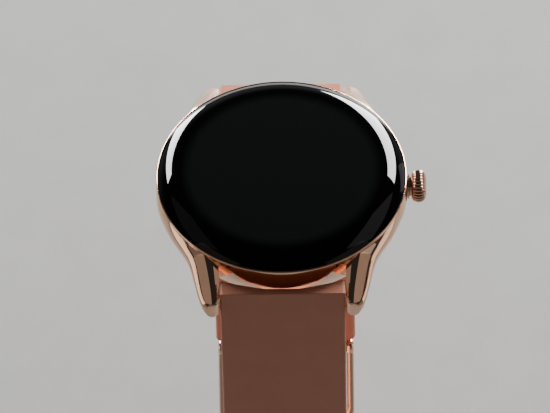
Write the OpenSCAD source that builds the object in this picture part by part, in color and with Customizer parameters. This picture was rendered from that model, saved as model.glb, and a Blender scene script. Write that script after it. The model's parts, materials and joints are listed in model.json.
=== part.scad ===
// Round smartwatch: a domed glass in a polished case with four lugs, a fluted crown,
// and an open two-piece silicone strap with a pin buckle.
// Millimetres. The origin is the centre of the flat sensor window under the case.
// +Z points out of the face, +X to 3 o'clock, +Y to 12 o'clock. Both strap halves hang down.

/* [Case] */
// Outside diameter of the case at its rim
case_d = 40.2; // [40:0.1:40.6]
// Height of the rim plane above the sensor window
rim_z = 8.6; // [8.5:0.05:8.8]
// Height of the glass dome above the rim plane
dome_h = 1.84; // [1.8:0.02:2]
// Diameter of the display under the glass
display_d = 32.8; // [31:0.1:32.8]
// Distance from the case centre to the lug tips
lug_reach = 22.9; // [22.7:0.1:23.2]

/* [Crown] */
// Diameter of the crown
crown_d = 5.2; // [5:0.1:5.4]
// Number of flutes round the crown
flutes = 28; // [20:1:32]
// Distance of the crown axis below the rim plane
crown_drop = 3.1; // [3:0.05:3.2]

/* [Strap] */
// Width of the strap
strap_w = 19.9; // [19.5:0.1:19.9]
// Thickness of the strap
strap_t = 2.3; // [2:0.1:2.4]
// Distance from the case centre to the strap's outer face
strap_y = 22.04; // [22:0.01:22.1]
// Length of the long half that hangs straight
straight_len = 28.4; // [26:0.1:32]
// Length of the long half that curves inward, without its round tip
curved_len = 66; // [60:1:70]
// Number of size holes
size_holes = 8; // [5:1:8]
// Length of the short half from spring bar to buckle bar
short_len = 61; // [60:0.5:62]

/* [Buckle] */
// Outside width of the buckle frame
buckle_w = 23; // [22.8:0.1:23.2]
// Length of the buckle frame from its bar to its far edge
buckle_len = 13.9; // [13.5:0.1:14.5]

/* [Hidden] */
$fn = 96;

gap = 0.05;                       // running clearance between a shaft and its hole
snug = 0.02;                      // clearance between pieces that are glued or pressed
case_r = case_d / 2;
glass_r = case_r - 0.35;          // edge of the glass
base_z = 2.2;                     // bottom face of the case ring, where the back meets it
ledge_z = 7.15;                   // ledge under the edge of the glass
seal_t = 0.15;                    // thickness of the display seal
cavity_r = 16.8;                  // inside radius of the case
bowl_r = 15.5;                    // radius of the bowl-shaped wall, which curves inward from the rim
glass_ceiling = rim_z - 0.1;      // underside of the glass over the display
board_z = 6.1;                    // underside of the main board
cover_z = 0.8;                    // lowest face of the back cover
window_r = 9;                     // radius of the sensor window
window_top = 1.5;
gasket_r = 16.95;                 // inside radius of the back gasket
boss_pcr = 15.3;                  // pitch radius of the four screw bosses
boss_angles = [45, 135, 225, 315];

lug_gap = strap_w / 2 + 0.15;     // half the space between two lugs
bar_y = strap_y - 1.4;            // spring bar axis
bar_z = rim_z - 5.2;
tip_r = 0.4;                      // spring bar tips
tip_len = 1.0;                    // length of a tip inside its lug
bar_r = 0.75;                     // spring bar tube, and buckle bar
strap_end_r = 1.3;                // strap round the spring bar
strap_top = rim_z - 3;            // top edge of the strap
strap_in = strap_y - strap_t;     // inner face of the hanging strap

long_r = 150;                     // bend radius of the long half, at the bar line
long_c = [bar_y - long_r, bar_z - straight_len];
long_end = -curved_len / long_r * 180 / PI;
hole_first = 46;                  // distance from the spring bar to the first size hole
hole_pitch = 6.5;
tip_step = 0.06;                  // how far the round tip sits below the long half's faces

short_r = 160;                    // bend radius of the short half, at the bar line
short_start = 8;                  // outward lean at the spring bar, degrees
short_c = [bar_y - short_r * cos(short_start), bar_z - short_r * sin(short_start)];
short_end = short_start - short_len / short_r * 180 / PI;
buckle_at = [short_c[0] + short_r * cos(short_end), short_c[1] + short_r * sin(short_end)];
buckle_lean = -31.5;              // lean of the buckle frame, degrees
keeper_at = 54.5;                 // distance from the spring bar to the fixed keeper
keeper_len = 7.5;
keeper_w = 23.6;
keeper_wall = 1.1;

crown_z = rim_z - crown_drop;
crown_x = 20.8;                   // inner face of the crown
crown_end = 23.15;                // outer face of the crown
crown_recess = 1.72;              // radius of the recess in the crown's inner face
stem_r = 0.7;                     // crown stem
tube_r = 1.4;                     // crown tube inside the case wall
nose_r = 1.6;                     // crown tube outside the case wall
nose_x = 19.6;                    // where the tube widens to its nose
tube_end = 21.2;
chamber_r = 1.1;                  // space for the O-rings in the tube
chamber_x = [17.6, 19.9];

motor_x = -12.9;                  // vibration motor
motor_r = 3;
pin_r = 0.9;                      // charging contacts
pin_x = 1.8;
pin_y = -11;

// Outer radius of the case wall at height z
function wall_r(z) = case_r - bowl_r + sqrt(bowl_r ^ 2 - (rim_z - z) ^ 2);
// Angle round the long half's bend at distance s from its spring bar
function long_angle(s) = -(s - straight_len) / long_r * 180 / PI;
// Angle round the short half's bend at distance s from its spring bar
function short_angle(s) = short_start - s / short_r * 180 / PI;

// A flat outline in (y, z), extruded along x
module along_x(x0, x1) translate([x0, 0, 0]) rotate(120, [1, 1, 1]) linear_extrude(x1 - x0) children();
// A straight round rod along x
module x_rod(r, x0, x1) translate([x0, 0, 0]) rotate([0, 90, 0]) cylinder(r = r, h = x1 - x0);
// A section in (radius, x) turned about an axis along x at c = [y, z]
module bend(c, from, to)
    translate([0, c[0], c[1]]) rotate(120, [1, 1, 1])
        rotate_extrude(angle = to - from, start = from) children();
// A part of the bend's own frame: +Y outward, -Z along the strap
module on_bend(c, r, angle) translate([0, c[0], c[1]]) rotate([angle, 0, 0]) translate([0, r, 0]) children();
module disc(r, z0, z1) translate([0, 0, z0]) cylinder(r = r, h = z1 - z0);
module ring(r_in, r_out, z0, z1) difference() {
    disc(r_out, z0, z1);
    disc(r_in, z0 - 1, z1 + 1);
}
module box(lo, hi) translate(lo) cube(hi - lo);
module at_bosses() for (a = boss_angles) rotate(a) translate([boss_pcr, 0, 0]) children();
module lower_side() mirror([0, 1, 0]) children();

// ---- Case ----

module lug() intersection() {
    linear_extrude(rim_z)
        polygon([[lug_gap, 12], [lug_gap, lug_reach], [11.9, lug_reach], [12.7, lug_reach - 0.6],
            [13.1, lug_reach - 1.5], [13.8, 19.2], [14.6, 16], [16, 12]]);
    along_x(lug_gap, 17)
        polygon([[12, 8.3], [16, 8.1], [19.5, 6.9], [22.2, 5], [lug_reach, 4.4], [lug_reach, 1.6],
            [22.3, 1], [20.5, 1], [16, base_z], [12, base_z]]);
}

module mid_case() color([0.78, 0.55, 0.42]) {
    difference() {
        union() {
            rotate_extrude() polygon(concat(
                [[cavity_r, base_z]],
                [for (i = [0:10]) let (z = base_z + (rim_z - base_z) * i / 10) [wall_r(z), z]],
                [[cavity_r, rim_z]]));
            for (a = [0, 1], b = [0, 1]) mirror([a, 0, 0]) mirror([0, b, 0]) lug();
        }
        disc(cavity_r, 0, rim_z + 1);
        disc(glass_r + gap, ledge_z, rim_z + 1);
        for (side = [-1, 1]) translate([0, side * bar_y, bar_z])
            x_rod(tip_r + gap, -lug_gap - tip_len - 0.2, lug_gap + tip_len + 0.2);
        translate([0, 0, crown_z]) {
            x_rod(tube_r + snug, cavity_r - 1, crown_x);
            x_rod(nose_r + snug, nose_x, crown_x);
        }
    }
    difference() {
        intersection() {
            at_bosses() disc(1.5, base_z, 5.4);
            disc(cavity_r + 0.1, base_z, 5.4);
        }
        at_bosses() disc(0.5, base_z - 1, 4.6);
    }
}

// Dome of the glass: a nearly flat middle and an edge band that curves down to edge_slope
module glass() color([0.02, 0.02, 0.03]) {
    edge_w = 4;                   // width of the band
    edge_slope = 40;
    dish = 0.3;                   // fall of the middle from its centre to the band
    mid_r = glass_r - edge_w;
    start = atan(2 * dish / mid_r);
    band_r = edge_w / (sin(edge_slope) - sin(start));
    mid_z = rim_z + dome_h - dish;
    rotate_extrude() polygon(concat(
        [[display_d / 2 + 0.2, ledge_z + seal_t], [glass_r, ledge_z + seal_t]],
        [for (i = [12:-1:0]) let (a = start + (edge_slope - start) * i / 12)
            [mid_r + band_r * (sin(a) - sin(start)), mid_z + band_r * (cos(a) - cos(start))]],
        [for (t = [0.8:-0.2:0]) [mid_r * t, rim_z + dome_h - dish * t ^ 2]],
        [[0, glass_ceiling], [display_d / 2 + 0.2, glass_ceiling]]));
}

module display_seal() color([0.1, 0.1, 0.1]) ring(17.2, glass_r - 0.1, ledge_z, ledge_z + seal_t);
module display() color([0.05, 0.05, 0.06]) disc(display_d / 2, 7.55, glass_ceiling);
module display_flex() color([0.75, 0.5, 0.15]) {
    box([-3, 10.5, board_z + 0.5], [3, 14, board_z + 0.65]);
    box([-3, 13.85, board_z + 0.65], [3, 14, 7.55]);
}

module inner_chassis() color([0.2, 0.2, 0.22]) difference() {
    union() {
        disc(cavity_r - 0.2, 2.9, board_z);
        ring(15.9, cavity_r - 0.2, board_z, 7.1);
    }
    disc(9.7, 2, 8);
    at_bosses() disc(1.65, 2, 5.6);
    translate([motor_x, 0, 0]) disc(motor_r + 0.15, 2, 8);
    box([10.6, -3, 2], [18, 3, 8]);
}

module main_board() color([0.05, 0.3, 0.15]) difference() {
    disc(15.7, board_z, board_z + 0.5);
    box([10.6, -3.2, board_z - 1], [18, 3.2, board_z + 1]);
}
module board_chips() color([0.6, 0.6, 0.62]) {
    top = board_z + 0.5;
    box([-9, -5, top], [0, 4, top + 0.6]);
    box([2, -9, top], [7, -4, top + 0.5]);
    box([2.5, 1, top], [6.5, 5, top + 0.5]);
    box([-6, -11.5, top], [-1, -7.5, top + 0.4]);
}
module battery() color([0.75, 0.77, 0.8]) disc(9.5, 2.9, 5.9);
module vibration_motor() color([0.7, 0.7, 0.72]) translate([motor_x, 0, 0]) disc(motor_r, 3, 5.4);

module switch_bracket() color([0.7, 0.7, 0.7]) box([10.6, -2.8, 3], [10.9, 2.8, 6]);
module side_switch() color([0.15, 0.15, 0.15]) {
    box([10.9, -1.7, crown_z - 1.4], [12.5, 1.7, crown_z + 0.55]);
    translate([0, 0, crown_z]) x_rod(0.5, 12.5, 12.85);
}

// ---- Back ----

module back_cover() color([0.12, 0.12, 0.13]) difference() {
    rotate_extrude() polygon([[0, cover_z], [12.5, cover_z], [15.2, 1], [16.6, 1.45],
        [wall_r(base_z), base_z], [0, base_z]]);
    disc(window_r + snug, 0, window_top);
    disc(window_r - 0.8, 0, 3);
    ring(gasket_r, gasket_r + 0.3, base_z - 0.2, 3);
    at_bosses() {
        disc(0.55, 0, 3);
        disc(1.05, 0, 1.6);
    }
    for (x = [-pin_x, pin_x]) translate([x, pin_y, 0]) disc(pin_r + snug, 0, 3);
}
module back_gasket() color([0.3, 0.05, 0.05])
    ring(gasket_r + snug, gasket_r + 0.3 - snug, base_z - 0.2, base_z);
module back_screws() color([0.7, 0.7, 0.72]) at_bosses() difference() {
    union() {
        disc(0.95, 1.15, 1.6);
        disc(0.48, 1.6, 4.4);
    }
    translate([0, 0, 1]) cylinder(r = 0.4, h = 0.4, $fn = 6);
}
module sensor_window() color([0.03, 0.03, 0.04]) rotate_extrude()
    polygon([[0, 0], [window_r - 0.6, 0], [window_r - 0.15, 0.2], [window_r, 0.6],
        [window_r, window_top], [0, window_top]]);
module light_barrier() color([0.05, 0.05, 0.05]) ring(3.6, 4.1, window_top, base_z);
module sensor_board() color([0.05, 0.3, 0.15]) disc(9.4, base_z, 2.8);
module sensor_leds() color([0.4, 0.9, 0.4])
    for (x = [-0.9, 0.9], y = [-0.9, 0.9]) translate([x, y, 0]) box([-0.6, -0.6, 1.7], [0.6, 0.6, base_z]);
module photodiodes() color([0.2, 0.2, 0.3])
    for (a = [0, 90, 180, 270]) rotate(a) box([5, -0.9, 1.7], [6.8, 0.9, base_z]);
module charging_pins() color([0.85, 0.7, 0.35])
    for (x = [-pin_x, pin_x]) translate([x, pin_y, 0]) disc(pin_r, cover_z - 0.1, base_z + 0.3);

// ---- Crown ----

module crown_tube() color([0.45, 0.33, 0.26]) translate([0, 0, crown_z]) difference() {
    union() {
        x_rod(tube_r, cavity_r + gap, nose_x);
        x_rod(nose_r, nose_x, tube_end);
        x_rod(2, case_r + snug, case_r + 0.35);
    }
    x_rod(stem_r + gap, cavity_r - 1, tube_end + 1);
    x_rod(chamber_r, chamber_x[0], chamber_x[1]);
}
module crown_plunger() color([0.8, 0.8, 0.8]) translate([0, 0, crown_z]) difference() {
    x_rod(1.2, 13.4, 14.9);
    x_rod(stem_r + gap, 14, 15);
}
module crown() color([0.8, 0.56, 0.43]) translate([0, 0, crown_z]) difference() {
    crown_r = crown_d / 2;
    rotate([0, 90, 0]) rotate_extrude() polygon([[0, crown_x], [crown_r - 0.35, crown_x],
        [crown_r - 0.08, crown_x + 0.4], [crown_r, crown_x + 1], [crown_r - 0.06, crown_x + 1.6],
        [crown_r - 0.35, crown_end - 0.2], [crown_r - 0.8, crown_end], [0, crown_end]]);
    x_rod(crown_recess, crown_x - 1, tube_end + 0.7);
    x_rod(stem_r + snug, 21, 22.6);
    for (i = [1:flutes]) rotate([i * 360 / flutes, 0, 0]) translate([0, crown_r + 0.03, 0])
        x_rod(0.2, crown_x - 1, crown_end + 1);
}
module crown_stem() color([0.7, 0.7, 0.72]) translate([0, 0, crown_z]) x_rod(stem_r, 14.1, 22.5);
module crown_orings() color([0.1, 0.1, 0.1])
    for (x = [18.3, 19.2]) translate([x, 0, crown_z]) rotate([0, 90, 0])
        rotate_extrude() translate([0.88, 0]) circle(0.16);

// ---- Strap, drawn at the 12 o'clock side ----

// Solid end round the spring bar. A cone hollows it to follow the case.
module strap_end() difference() {
    union() {
        along_x(-strap_w / 2, strap_w / 2)
            polygon([[strap_y, strap_top], [18.9, strap_top], [bar_y - strap_end_r, bar_z],
                [bar_y, bar_z - 1], [strap_in, bar_z - 1.2], [strap_y - 0.02, bar_z - 1.2]]);
        translate([0, bar_y, bar_z]) x_rod(strap_end_r, -strap_w / 2, strap_w / 2);
    }
    rotate_extrude() polygon([[0, 3.6], [19.35, 3.6], [21.65, strap_top + 0.05], [0, strap_top + 0.05]]);
}
module bar_space() translate([0, bar_y, bar_z]) {
    x_rod(bar_r + snug, -strap_w, strap_w);
    box([5.9, -3, -0.55], [9, 0, 0.55]);
}

module strap_long() color([0.75, 0.52, 0.45]) lower_side() difference() {
    union() {
        strap_end();
        box([-strap_w / 2, strap_in, long_c[1]], [strap_w / 2, strap_y, bar_z]);
        bend(long_c, long_end, 0)
            translate([strap_in - long_c[0], -strap_w / 2]) square([strap_t, strap_w]);
        on_bend(long_c, strap_in - long_c[0] + tip_step, long_end) intersection() {
            rotate([-90, 0, 0]) cylinder(r = strap_w / 2 - tip_step, h = strap_t - 2 * tip_step);
            box([-strap_w, -1, -strap_w], [strap_w, strap_t, 0.5]);
        }
    }
    bar_space();
    for (i = [0:size_holes - 1])
        on_bend(long_c, long_r, long_angle(hole_first + i * hole_pitch))
            rotate([90, 0, 0]) cylinder(r = 1.2, h = 8, center = true);
}

module strap_short() color([0.75, 0.52, 0.45]) difference() {
    union() {
        strap_end();
        bend(short_c, short_end, short_start)
            translate([short_r + strap_y - bar_y - strap_t, -strap_w / 2]) square([strap_t, strap_w]);
        translate([0, buckle_at[0], buckle_at[1]]) x_rod(1.5, -strap_w / 2, strap_w / 2);
    }
    bar_space();
    translate([0, buckle_at[0], buckle_at[1]]) {
        x_rod(bar_r + gap, -strap_w, strap_w);
        rotate([short_end, 0, 0]) box([-1.5, -4, -4], [1.5, 4, 4.5]);
    }
}

// Loop round the short half with room for the long half's tip on its outer side
module keeper(s) {
    inner = short_r + strap_y - bar_y - strap_t - 0.12;
    outer = inner + 2 * strap_t + 0.5;
    corner = keeper_wall - 0.1;   // radius of the keeper's outer corners
    bend(short_c, short_angle(s + keeper_len / 2), short_angle(s - keeper_len / 2)) difference() {
        union() {
            translate([inner - keeper_wall, corner - keeper_w / 2])
                square([outer - inner + 2 * keeper_wall, keeper_w - 2 * corner]);
            translate([inner - 0.1, -keeper_w / 2]) square([outer - inner + 0.2, keeper_w]);
            for (y = [-1, 1], x = [inner - 0.1, outer + 0.1])
                translate([x, y * (keeper_w / 2 - corner)]) circle(corner);
        }
        translate([inner, -strap_w / 2 - 0.2]) square([outer - inner, strap_w + 0.4]);
    }
}
module keeper_fixed() color([0.72, 0.5, 0.43]) keeper(keeper_at);
module keeper_free() color([0.72, 0.5, 0.43]) keeper(keeper_at - keeper_len - 0.3);

// ---- Quick-release spring bars, drawn at the 12 o'clock side ----

module spring_bar() color([0.75, 0.75, 0.77]) translate([0, bar_y, bar_z]) difference() {
    union() {
        x_rod(bar_r, -9.7, 9.7);
        x_rod(tip_r, -lug_gap - tip_len, -9.7);
    }
    x_rod(0.55, 1, 8.7);
    x_rod(tip_r + gap, 8, 10);
    box([6.4, -1, -0.36], [8.4, 0, 0.36]);
}
module release_lever() color([0.8, 0.8, 0.82]) translate([0, bar_y, bar_z]) {
    x_rod(tip_r, 7.3, lug_gap + tip_len);
    x_rod(0.5, 7.3, 8.6);
    translate([8, 0, 0]) rotate([90, 0, 0]) {
        cylinder(r = 0.3, h = 1.5);
        translate([0, 0, 1.1]) cylinder(r = 0.5, h = 0.6);
    }
}

// Rings of six points round a helix along x, joined into a closed coil
coil_turns = 12;
coil_steps = 10;
coil_x = [1.2, 7.1];
function coil_ring(i) = let (n = coil_turns * coil_steps, a = i * 360 / coil_steps,
    x = coil_x[0] + 0.1 + (coil_x[1] - coil_x[0] - 0.2) * i / n)
    [for (k = [0:5]) let (b = k * 60, r = 0.38 + 0.09 * cos(b)) [x + 0.09 * sin(b), r * cos(a), r * sin(a)]];
module bar_spring() color([0.7, 0.7, 0.7]) translate([0, bar_y, bar_z]) {
    n = coil_turns * coil_steps;
    polyhedron(
        points = [for (i = [0:n]) each coil_ring(i)],
        faces = concat([[for (k = [0:5]) k]], [[for (k = [5:-1:0]) n * 6 + k]],
            [for (i = [0:n - 1], k = [0:5]) [i * 6 + k, (i + 1) * 6 + k,
                (i + 1) * 6 + (k + 1) % 6, i * 6 + (k + 1) % 6]]));
}

module spring_bar_upper() spring_bar();
module spring_bar_lower() lower_side() spring_bar();
module release_lever_upper() release_lever();
module release_lever_lower() lower_side() release_lever();
module bar_spring_upper() bar_spring();
module bar_spring_lower() lower_side() bar_spring();

// ---- Buckle, drawn hanging from its bar ----

module at_buckle() translate([0, buckle_at[0], buckle_at[1]]) rotate([buckle_lean, 0, 0]) children();
module plate(t) translate([0, t / 2, 0]) rotate([90, 0, 0]) linear_extrude(t) children();

module buckle_frame() color([0.8, 0.56, 0.43]) at_buckle() {
    half = buckle_w / 2;
    side_in = strap_w / 2 + 0.25;
    bar_in = buckle_len - 2.3;
    corner = 2.5;
    difference() {
        union() {
            plate(1.5) difference() {
                union() {
                    translate([-half, corner - buckle_len]) square([buckle_w, buckle_len - corner]);
                    translate([corner - half, -buckle_len]) square([buckle_w - 2 * corner, buckle_len]);
                    for (s = [-1, 1]) translate([s * (half - corner), corner - buckle_len]) circle(corner);
                }
                translate([-side_in, -bar_in]) square([2 * side_in, buckle_len]);
            }
            for (a = [0, 1]) mirror([a, 0, 0]) x_rod(1.35, side_in, half);
        }
        x_rod(bar_r + snug, -half - 1, half + 1);
    }
}
module buckle_bar() color([0.75, 0.75, 0.77]) at_buckle()
    x_rod(bar_r, 0.1 - buckle_w / 2, buckle_w / 2 - 0.1);
module buckle_tang() color([0.8, 0.56, 0.43]) at_buckle() difference() {
    union() {
        x_rod(1.25, -1.1, 1.1);
        along_x(-1, 1) polygon([[0.3, 0], [1.25, 0], [1.7, -4], [1.75, -buckle_len + 0.8],
            [1.3, -buckle_len + 0.4], [0.82, -buckle_len + 0.6], [0.82, -4]]);
    }
    x_rod(bar_r + gap, -2, 2);
}

mid_case();
glass();
display_seal();
display();
display_flex();
inner_chassis();
main_board();
board_chips();
battery();
vibration_motor();
switch_bracket();
side_switch();
back_cover();
back_gasket();
back_screws();
sensor_window();
light_barrier();
sensor_board();
sensor_leds();
photodiodes();
charging_pins();
crown_tube();
crown_plunger();
crown();
crown_stem();
crown_orings();
strap_long();
spring_bar_lower();
bar_spring_lower();
release_lever_lower();
strap_short();
spring_bar_upper();
bar_spring_upper();
release_lever_upper();
keeper_fixed();
keeper_free();
buckle_frame();
buckle_bar();
buckle_tang();
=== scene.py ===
"""Smartwatch: polished rose-gold case, domed glass, fluted crown, open silicone strap."""
import json
import math

import bmesh
import bpy
from mathutils import Matrix, Vector


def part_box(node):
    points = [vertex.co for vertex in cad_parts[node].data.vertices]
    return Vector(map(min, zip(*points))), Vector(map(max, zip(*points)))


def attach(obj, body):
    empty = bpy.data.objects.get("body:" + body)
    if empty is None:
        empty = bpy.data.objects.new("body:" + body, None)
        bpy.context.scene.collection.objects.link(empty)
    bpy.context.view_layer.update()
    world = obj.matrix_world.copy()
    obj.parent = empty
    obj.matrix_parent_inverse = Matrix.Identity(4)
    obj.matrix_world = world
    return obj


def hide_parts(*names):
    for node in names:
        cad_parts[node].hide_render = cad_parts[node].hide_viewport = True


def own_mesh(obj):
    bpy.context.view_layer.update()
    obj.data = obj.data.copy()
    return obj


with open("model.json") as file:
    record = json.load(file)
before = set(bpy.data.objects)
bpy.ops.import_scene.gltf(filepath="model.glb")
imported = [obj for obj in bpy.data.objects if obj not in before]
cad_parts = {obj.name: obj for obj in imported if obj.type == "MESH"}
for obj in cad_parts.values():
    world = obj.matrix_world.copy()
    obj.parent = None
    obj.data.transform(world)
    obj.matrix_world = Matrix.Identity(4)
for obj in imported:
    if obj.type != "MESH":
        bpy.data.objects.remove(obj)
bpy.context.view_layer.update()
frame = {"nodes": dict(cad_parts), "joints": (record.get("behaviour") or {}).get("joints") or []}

MM = 0.001


def low(node):
    """Lowest corner of a CAD node, in mm."""
    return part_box(node)[0] / MM


def high(node):
    """Highest corner of a CAD node, in mm."""
    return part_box(node)[1] / MM


joints = {j["name"]: j for j in frame["joints"]}

# ---- Driving dimensions, in mm, from the frame ----
RIM_Z = high("mid_case").z
CASE_R = high("mid_case").x
DOME_Z = high("glass").z
GLASS_R = high("glass").x
GLASS_Z = low("glass").z
BASE_Z = high("back_cover").z
LUG_Y = high("mid_case").y
LUG_Z = low("mid_case").z
CROWN_Z = joints["crown_turn"]["pos_m"][2] / MM
CROWN_X0 = low("crown").x
CROWN_X1 = high("crown").x
CROWN_R = (high("crown").z - low("crown").z) / 2
STRAP_HALF = high("strap_short").x
STRAP_Y = -low("strap_long").y    # outer face of the strap
STRAP_TOP = high("strap_long").z
STRAP_T = 2.3                     # thickness of the strap
BAR = Vector([c / MM for c in joints["short_half_swing"]["pos_m"]])
SHORT_C = Vector([c / MM for c in joints["keeper_slide"]["pos_m"]])
BUCKLE = Vector([c / MM for c in joints["buckle_swing"]["pos_m"]])
BUCKLE_HALF = high("buckle_frame").x


# ---- Mesh helpers ----

def make_object(name, verts, faces, smooth=True):
    """A mesh object from points in mm."""
    mesh = bpy.data.meshes.new(name)
    mesh.from_pydata([Vector(v) * MM for v in verts], [], faces)
    mesh.validate()
    bm = bmesh.new()
    bm.from_mesh(mesh)
    bmesh.ops.remove_doubles(bm, verts=bm.verts, dist=1e-7)
    bmesh.ops.recalc_face_normals(bm, faces=bm.faces)
    bm.to_mesh(mesh)
    bm.free()
    for poly in mesh.polygons:
        poly.use_smooth = smooth
    obj = bpy.data.objects.new(name, mesh)
    bpy.context.scene.collection.objects.link(obj)
    return obj


def arc(cx, cy, r, a0, a1, n):
    """n + 1 points on an arc, angles in degrees."""
    angles = [math.radians(a0 + (a1 - a0) * i / n) for i in range(n + 1)]
    return [(cx + r * math.cos(a), cy + r * math.sin(a)) for a in angles]


def lathe(name, profile, steps=256, to_world=None, sharp=30):
    """A closed outline in (radius, height) turned round the Z axis."""
    verts, faces = [], []
    n = len(profile)
    for i in range(steps):
        a = 2 * math.pi * i / steps
        for r, z in profile:
            verts.append(Vector((r * math.cos(a), r * math.sin(a), z)))
    if to_world is not None:
        verts = [to_world @ v for v in verts]
    for i in range(steps):
        for k in range(n):
            a, b = i * n + k, i * n + (k + 1) % n
            c, d = ((i + 1) % steps) * n + (k + 1) % n, ((i + 1) % steps) * n + k
            faces.append((a, b, c, d))
    obj = make_object(name, verts, faces)
    shade(obj, sharp)
    return obj


def shade(obj, degrees=30):
    """Smooth shading with a crease wherever two faces meet at more than this angle."""
    limit = math.radians(degrees)
    bm = bmesh.new()
    bm.from_mesh(obj.data)
    for edge in bm.edges:
        edge.smooth = len(edge.link_faces) != 2 or edge.calc_face_angle(0) < limit
    bm.to_mesh(obj.data)
    bm.free()


def loft(name, sections, sharp=30):
    """A solid through closed sections with the same number of points."""
    n = len(sections[0])
    verts = [p for section in sections for p in section]
    faces = []
    for i in range(len(sections) - 1):
        for k in range(n):
            a, b = i * n + k, i * n + (k + 1) % n
            faces.append((a, b, b + n, a + n))
    faces.append(tuple(range(n)))
    faces.append(tuple(range((len(sections) - 1) * n, len(sections) * n)))
    obj = make_object(name, verts, faces)
    shade(obj, sharp)
    return obj


def bevel(obj, width, segments=3, degrees=25):
    """Rounds every edge sharper than this angle. The width is in mm."""
    mod = obj.modifiers.new("edges", "BEVEL")
    mod.width = width * MM
    mod.segments = segments
    mod.limit_method = "ANGLE"
    mod.angle_limit = math.radians(degrees)
    mod.harden_normals = True


def place(obj, body, slot, material, *replaced):
    """Puts a finished piece on its body, with its finish and the CAD nodes it stands for."""
    obj.data.materials.clear()
    obj.data.materials.append(material)
    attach(obj, body)
    if replaced:
        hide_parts(*replaced)


# ---- Materials ----

class Nodes:
    """A material's node tree, with short calls for the nodes that are used here."""

    def __init__(self, name):
        self.material = bpy.data.materials.new(name)
        self.material.use_nodes = True
        self.tree = self.material.node_tree
        self.shader = self.tree.nodes["Principled BSDF"]

    def add(self, kind, **values):
        """A new node, with these inputs or settings."""
        node = self.tree.nodes.new(kind)
        for key, value in values.items():
            if key in node.inputs:
                node.inputs[key].default_value = value
            else:
                setattr(node, key, value)
        return node

    def link(self, a, b):
        self.tree.links.new(a, b)

    def point(self):
        """The place on the object, in metres, which stays with the piece as it moves."""
        return self.add("ShaderNodeTexCoord").outputs["Object"]

    def noise(self, scale, detail=3.0, stretch=None):
        """Noise whose scale is its number of features a metre."""
        where = self.point()
        if stretch is not None:
            mapping = self.add("ShaderNodeMapping")
            mapping.inputs["Scale"].default_value = stretch
            self.link(where, mapping.inputs["Vector"])
            where = mapping.outputs["Vector"]
        texture = self.add("ShaderNodeTexNoise", Scale=scale, Detail=detail)
        self.link(where, texture.inputs["Vector"])
        return texture.outputs["Fac"]

    def spread(self, value, low_value, high_value, start=0.35, end=0.65):
        """Maps a 0 to 1 texture to a range of numbers."""
        node = self.add("ShaderNodeMapRange")
        node.inputs["From Min"].default_value = start
        node.inputs["From Max"].default_value = end
        node.inputs["To Min"].default_value = low_value
        node.inputs["To Max"].default_value = high_value
        self.link(value, node.inputs["Value"])
        return node.outputs["Result"]

    def mix(self, factor, a, b):
        """A colour between a and b."""
        node = self.add("ShaderNodeMix", data_type="RGBA")
        node.inputs[6].default_value = (*a, 1)
        node.inputs[7].default_value = (*b, 1)
        self.link(factor, node.inputs[0])
        return node.outputs[2]

    def bump(self, height, strength, depth_mm):
        """Fine relief on the shader's normal."""
        node = self.add("ShaderNodeBump", Strength=strength)
        node.inputs["Distance"].default_value = depth_mm * MM
        self.link(height, node.inputs["Height"])
        self.link(node.outputs["Normal"], self.shader.inputs["Normal"])

    def set(self, **values):
        """Constants on the shader's own inputs."""
        for key, value in values.items():
            self.shader.inputs[key.replace("_", " ")].default_value = value
        return self


def polished(name, colour, worn, rough=(0.07, 0.13), grain=0.02):
    """Plated and polished metal with faint haze and hairlines."""
    m = Nodes(name).set(Metallic=1.0)
    haze = m.noise(900, 4)
    hairline = m.noise(5000, 2, stretch=(1, 0.06, 1))
    m.link(m.mix(m.spread(haze, 0, 1), colour, worn), m.shader.inputs["Base Color"])
    m.link(m.spread(haze, *rough), m.shader.inputs["Roughness"])
    m.bump(hairline, grain, 0.01)
    return m.material


def brushed(name, colour, rough=(0.25, 0.4)):
    """Turned or brushed metal, with lines round the X axis."""
    m = Nodes(name).set(Metallic=1.0)
    lines = m.noise(9000, 2, stretch=(1, 0.04, 0.04))
    darker = [c * 0.82 for c in colour]
    m.link(m.mix(m.spread(lines, 0, 1), colour, darker), m.shader.inputs["Base Color"])
    m.link(m.spread(lines, *rough), m.shader.inputs["Roughness"])
    m.bump(lines, 0.15, 0.01)
    return m.material


def moulded(name, colour, other, rough=(0.45, 0.6), grain=0.25, scale=9000, depth=0.012, **extra):
    """Moulded plastic, rubber or silicone, with a fine grain."""
    m = Nodes(name).set(**extra)
    cloud = m.noise(140, 3)
    fine = m.noise(scale, 4)
    m.link(m.mix(m.spread(cloud, 0, 1), colour, other), m.shader.inputs["Base Color"])
    m.link(m.spread(fine, *rough), m.shader.inputs["Roughness"])
    m.bump(fine, grain, depth)
    return m.material


DISPLAY_R = 16.0                  # edge of the display seen through the glass


def domed_glass(name):
    """Domed glass over a black print. The display is a slightly lighter disc that fades out at its edge."""
    m = Nodes(name).set(IOR=1.5, Specular_IOR_Level=0.35)
    split = m.add("ShaderNodeSeparateXYZ")
    m.link(m.point(), split.inputs[0])
    flat = m.add("ShaderNodeCombineXYZ")
    m.link(split.outputs["X"], flat.inputs["X"])
    m.link(split.outputs["Y"], flat.inputs["Y"])
    radius = m.add("ShaderNodeVectorMath", operation="LENGTH")
    m.link(flat.outputs[0], radius.inputs[0])
    fade_from, fade_to = DISPLAY_R - 1.4, DISPLAY_R + 0.3
    disc = m.spread(radius.outputs["Value"], 1, 0, fade_from * MM, fade_to * MM)
    black_print, panel = (0.0004, 0.0004, 0.0005), (0.0036, 0.0043, 0.0040)
    m.link(m.mix(disc, black_print, panel), m.shader.inputs["Base Color"])
    m.link(m.spread(m.noise(60, 3), 0.015, 0.04), m.shader.inputs["Roughness"])
    m.bump(m.noise(350, 1), 0.01, 0.01)
    return m.material


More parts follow.
